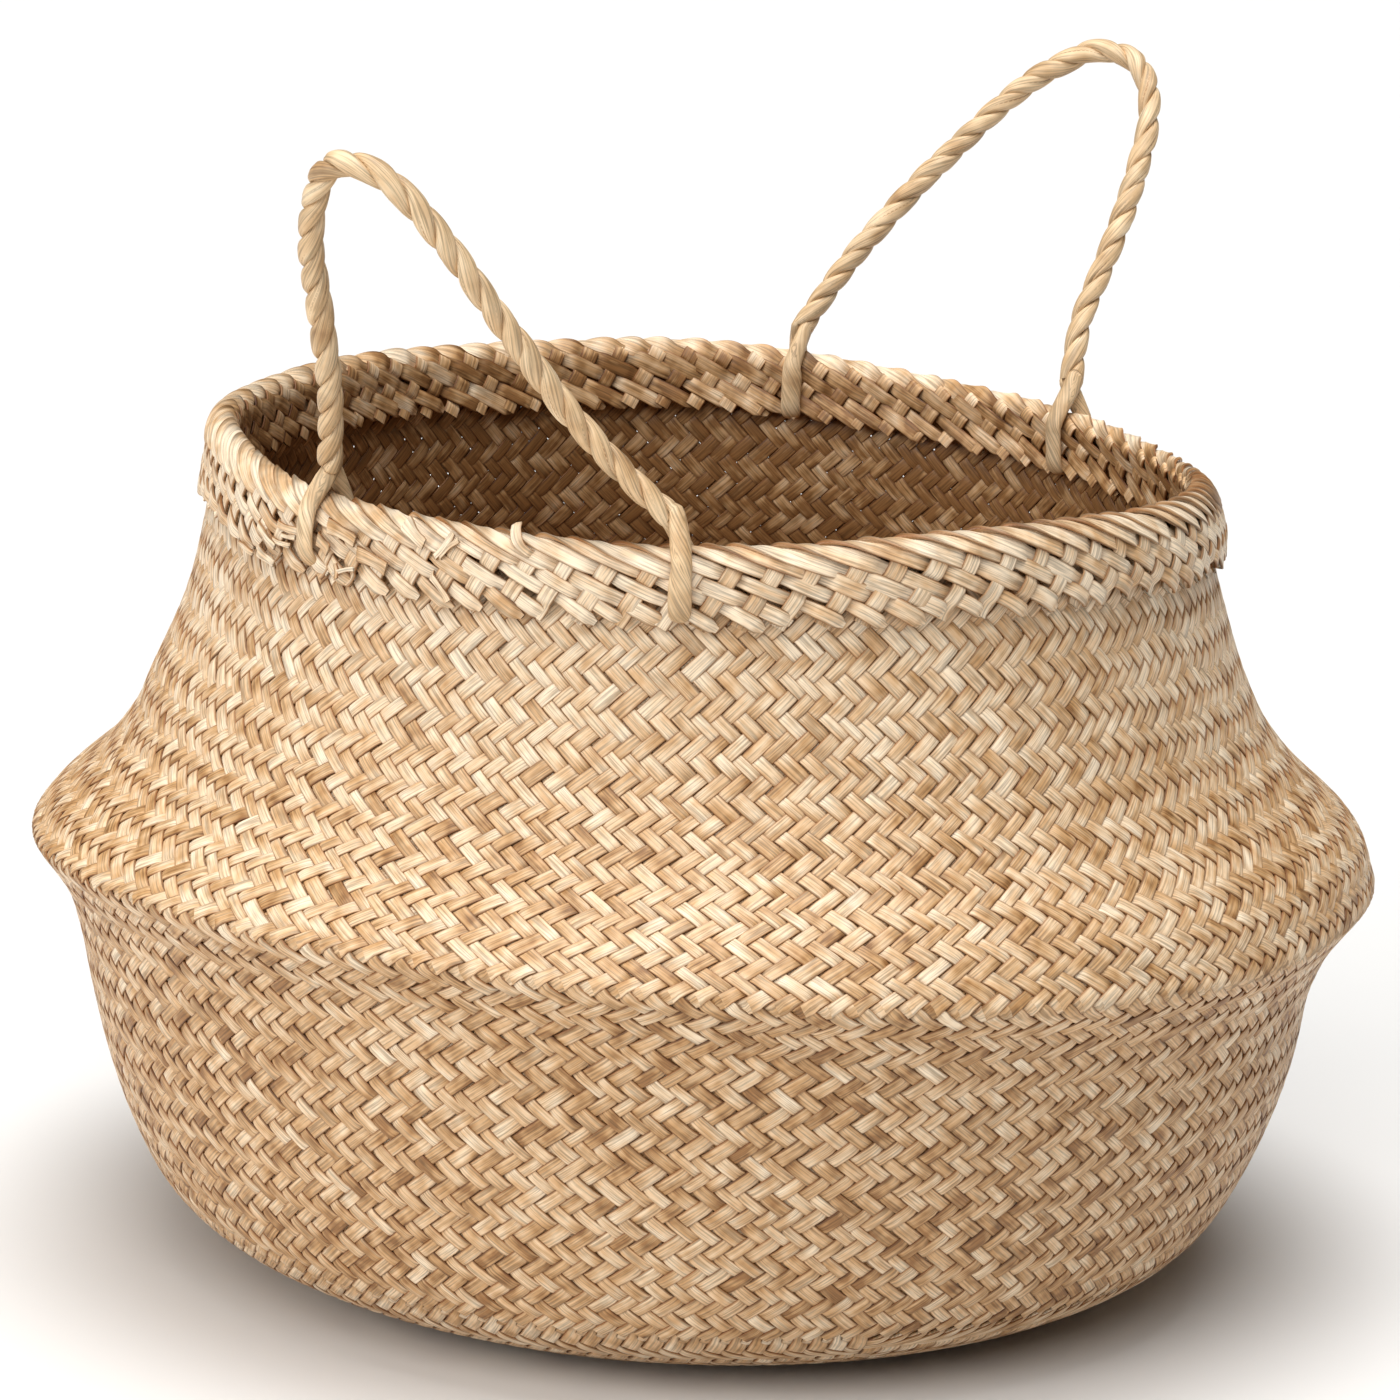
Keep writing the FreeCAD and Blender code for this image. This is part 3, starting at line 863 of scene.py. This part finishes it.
def route_line(points):
    """Points along a smooth line that has the route's points as its control points."""
    curve = bpy.data.curves.new("route", "CURVE")
    curve.dimensions = "3D"
    spline = curve.splines.new("NURBS")
    spline.points.add(len(points) - 1)
    for point, place in zip(spline.points, points):
        point.co = (*place, 1.0)
    spline.order_u = 3
    spline.use_endpoint_u = True
    spline.resolution_u = 24
    holder = bpy.data.objects.new("route", curve)
    bpy.context.scene.collection.objects.link(holder)
    bpy.context.view_layer.update()
    evaluated = holder.evaluated_get(bpy.context.evaluated_depsgraph_get())
    mesh = bpy.data.meshes.new_from_object(evaluated)
    line = np.array([vertex.co for vertex in mesh.vertices])
    bpy.data.objects.remove(holder)
    bpy.data.meshes.remove(mesh)
    return line


def carried_frame(line, first_side):
    """Two directions across a line at each of its points, turned no more than the line turns."""
    along = unit(np.gradient(line, axis=0))
    side = np.zeros_like(line)
    side[0] = unit(first_side - along[0] * (first_side @ along[0]))
    for number in range(1, len(line)):
        carried = side[number - 1] - along[number] * (side[number - 1] @ along[number])
        side[number] = unit(carried)
    return side, np.cross(along, side)


def end_leg(angle, outside):
    """Path of one ply from the middle of the wall, out or in under the collar, and up beside it."""
    side = 1 if outside else -1
    reach, height = np.transpose(LEG_PATH) * MM
    radius = WALL_MIDDLE + side * reach
    points = np.stack([radius * math.cos(angle), radius * math.sin(angle), LOOP_BOTTOM + height], -1)
    outward = side * np.array([math.cos(angle), math.sin(angle), 0.0]) * np.ones((len(LEG_PATH), 1))
    return settle(points), outward


def rope_piece(name, route, lean, side):
    """Both plies of one handle, from wall to wall. side is -1 for the front and +1 for the back."""
    hinge = np.array(HINGES[name + "_swing"])
    sideways = np.array([-side, 0.0, 0.0])
    up = np.array([0.0, side * math.sin(lean), math.cos(lean)])
    line = route_line([hinge + (sideways * a + up * b) * MM for a, b in route])
    line, length = evenly(line, 0.5 * MM)
    share = np.linspace(0, 1, len(line))[:, None]
    feet = [settle(unit(end * [1, 1, 0]) * WALL_MIDDLE + end * [0, 0, 1]) for end in (line[0], line[-1])]
    line = line + (feet[0] - line[0]) * (1 - share) ** 3 + (feet[1] - line[-1]) * share**3
    radial = [unit(line[number] * [1, 1, 0]) for number in (0, -1)]
    angles = [math.atan2(way[1], way[0]) for way in radial]
    first, second = carried_frame(line, radial[0])
    half_turns = round(length / ROPE_LEAD * 2)
    last_turn = math.atan2(radial[1] @ second[-1], radial[1] @ first[-1])
    uneven = 0.4 * np.sin(17 * share[:, 0]) + 0.25 * np.sin(41 * share[:, 0] + 1)
    turn = (math.pi * half_turns + last_turn) * share[:, 0] + uneven * np.sin(math.pi * share[:, 0])
    clear = slice(5, -5, 3)  # every third point, clear of the feet, where end_leg takes over
    plies = []
    for ply in range(2):
        phase = (turn + math.pi * ply)[:, None]
        outward = np.cos(phase) * first + np.sin(phase) * second
        start, start_out = end_leg(angles[0], ply == 0)
        end, end_out = end_leg(angles[1], (ply == 0) == (half_turns % 2 == 0))
        path = np.vstack([start, (line + PLY_OFFSET * outward)[clear], end[::-1]])
        out = np.vstack([start_out, outward[clear], end_out[::-1]])
        plies.append(smooth_line(np.hstack([path, out]), 3))
    return ply_mesh("twisted_" + name, plies)


def ply_mesh(name, plies):
    """Tubes of twisted fibres. A ply is rows of a point on its middle and the way out from the rope's."""
    around = np.arange(PLY_SIDES) / PLY_SIDES * 2 * math.pi
    layers = []
    for number, rows in enumerate(plies):
        path = rows[:, :3]
        forward = unit(np.gradient(path, axis=0))
        out = rows[:, 3:]
        out = unit(out - forward * np.sum(out * forward, axis=1, keepdims=True))
        beside = np.cross(out, forward)
        steps = np.linalg.norm(np.diff(path, axis=0), axis=1)
        run = np.concatenate([[0], np.cumsum(steps)])[:, None]
        edge = np.minimum(run, run[-1] - run)
        free = fade_in(edge - LEG_LENGTH, LEG_SWELL)
        tip = TIP_THICKNESS + (1 - TIP_THICKNESS) * fade_in(edge, 6 * MM)
        turned = around - FIBRE_SPIN * 2 * math.pi * run / ROPE_LEAD + 1.9 * number
        crease = np.zeros_like(turned)
        for place in FOLDS:
            depth = 0.6 + 0.4 * np.sin(run / (6 * MM) + 5 * place + number)
            crease = np.maximum(crease, depth * np.exp(-((np.sin((turned - place) / 2) / 0.13) ** 2)))
        uneven = 1 + 0.05 * np.sin(run / (11 * MM) + number) + 0.035 * np.cos(2 * turned + 1)
        thick = tip * uneven * (1 - 0.13 * crease)
        depth = (LEG_HALF_DEPTH + (PLY_HALF_DEPTH - LEG_HALF_DEPTH) * free) * thick
        width = (LEG_HALF_WIDTH + (PLY_HALF_WIDTH - LEG_HALF_WIDTH) * free) * thick
        across = np.cos(around) * depth
        over = np.sin(around) * width
        points = path[:, None] + across[..., None] * out[:, None] + over[..., None] * beside[:, None]
        lap = np.abs(np.mod(turned / math.pi, 2) - 1) * 0.62
        strip_uv = np.stack([lap + 3.3 * number, run / (10 * MM) + 9.1 * number + 0 * lap], -1)
        # Painted shade in the ply's creases: the edge place moves towards the edge, where the material
        # darkens.
        edge_uv = np.stack([0.5 + 0.5 * crease, 0.3 + 0.3 * number + 0 * lap], -1)
        layers.append((points, strip_uv, edge_uv))
    points, strip_uv, edge_uv = (np.stack(layer) for layer in zip(*layers))
    return grid_mesh(name, points, None, strip_uv, edge_uv, np.zeros(points.shape[:-1]))


# Stage --------------------------------------------------------------------------------------
FLOOR_REACH = 6.0
SKY_STRENGTH = 0.06
SUN_SPREAD = 40                 # degrees that each light covers as seen from the basket


def plain(name, colour, roughness):
    material = bpy.data.materials.new(name)
    material.use_nodes = True
    shader = material.node_tree.nodes["Principled BSDF"]
    shader.inputs["Base Color"].default_value = colour
    shader.inputs["Roughness"].default_value = roughness
    return material


def floor():
    mesh = bpy.data.meshes.new("floor")
    corners = [(x * FLOOR_REACH, y * FLOOR_REACH, 0) for x, y in ((-1, -1), (1, -1), (1, 1), (-1, 1))]
    mesh.from_pydata(corners, [], [(0, 1, 2, 3)])
    plane = bpy.data.objects.new("floor", mesh)
    bpy.context.scene.collection.objects.link(plane)
    mesh.materials.append(plain("floor_pale", srgb(226, 225, 223), 0.9))


def soft_sun(name, away, elevation, strength):
    """Broad even light. away is degrees round from the camera, positive to its left."""
    light = bpy.data.lights.new(name, "SUN")
    light.energy = strength
    light.angle = math.radians(SUN_SPREAD)
    lamp = bpy.data.objects.new(name, light)
    turn = CAMERA_AZIMUTH - math.radians(away)
    level = math.cos(math.radians(elevation))
    towards = Vector((level * math.sin(turn), -level * math.cos(turn), math.sin(math.radians(elevation))))
    lamp.rotation_euler = towards.to_track_quat("Z", "Y").to_euler()
    lamp.location = towards * 2
    bpy.context.scene.collection.objects.link(lamp)


def camera():
    data = bpy.data.cameras.new("camera")
    data.lens = CAMERA_LENS
    data.sensor_width = SENSOR
    holder = bpy.data.objects.new("camera", data)
    bpy.context.scene.collection.objects.link(holder)
    bpy.context.scene.camera = holder
    away = Vector((
        math.cos(CAMERA_ELEVATION) * math.sin(CAMERA_AZIMUTH),
        -math.cos(CAMERA_ELEVATION) * math.cos(CAMERA_AZIMUTH),
        math.sin(CAMERA_ELEVATION),
    ))
    place = CAMERA_TARGET + away * CAMERA_DISTANCE
    right = Vector((0, 0, 1)).cross(away).normalized()
    upward = away.cross(right)
    aim = CAMERA_TARGET + right * CAMERA_AIM_RIGHT + upward * CAMERA_AIM_UP
    level = (aim - place).to_track_quat("-Z", "Y").to_matrix()
    turned = level @ Matrix.Rotation(CAMERA_ROLL, 3, "Z")
    holder.matrix_world = Matrix.Translation(place) @ turned.to_4x4()


def world():
    sky = bpy.data.worlds.new("studio")
    sky.use_nodes = True
    background = sky.node_tree.nodes["Background"].inputs
    background["Color"].default_value = (1.0, 1.0, 1.0, 1.0)
    background["Strength"].default_value = SKY_STRENGTH
    bpy.context.scene.world = sky


def finish_piece(piece, material):
    piece.data.materials.append(material)
    return piece


def main():
    camera()
    world()
    floor()
    bpy.context.scene.view_settings.view_transform = "Standard"
    soft_sun("top", away=0, elevation=85, strength=2.9)
    soft_sun("front", away=12, elevation=42, strength=1.5)
    soft_sun("side", away=60, elevation=15, strength=1.45)

    wall_material = seagrass("seagrass_strips", WALL_TONES, contrast=1.15, fibre_depth=0.2 * MM)
    rope_material = seagrass("seagrass_rope", ROPE_TONES, contrast=0.8, fibre_depth=0.2 * MM)

    plait = Plait(wall_sheet())
    for family in "UV":
        for part, nearest, farthest in BASE_BANDS:
            piece = plait.base_piece(f"base_strips_{family.lower()}_{part}", family, nearest, farthest)
            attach(finish_piece(piece, wall_material), "basket")
    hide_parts("base_mat", "base_turn_up")
    for quarter in range(4):
        for family in "AB":
            label = f"{family.lower()}_{quarter + 1}"
            piece = plait.wall_piece("bowl_strips_" + label, family, 0.0, plait.belly_cell, quarter)
            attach(finish_piece(piece, wall_material), "basket")
            cells = (plait.belly_cell, plait.last_cell)
            piece = plait.wall_piece("neck_strips_" + label, family, *cells, quarter)
            finish_piece(piece, wall_material)
            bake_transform(piece)
    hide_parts("lower_wall")
    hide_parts("shoulder_wall", "neck_wall")

    braid = Braid()
    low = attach(finish_piece(braid.low_strips(), wall_material), "rim")
    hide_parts("outer_collar", "rim_border", "outer_collar_tails", "inner_collar_tails")
    outer = braid.steep_strips("collar_steep_strips_outside", False)
    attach(finish_piece(outer, wall_material), "rim")
    inner = braid.steep_strips("collar_steep_strips_inside", True)
    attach(finish_piece(inner, wall_material), "rim")
    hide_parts("inner_collar")
    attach(finish_piece(braid.loose_strips(), wall_material), "rim")

    handles = (
        ("front_handle", FRONT_ROUTE, FRONT_LEAN, -1),
        ("back_handle", BACK_ROUTE, BACK_LEAN, 1),
    )
    for name, route, lean, side in handles:
        rope = finish_piece(rope_piece(name, route, lean, side), rope_material)
        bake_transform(rope)
        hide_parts(name + "_rope", name + "_left_end", name + "_right_end")


main()
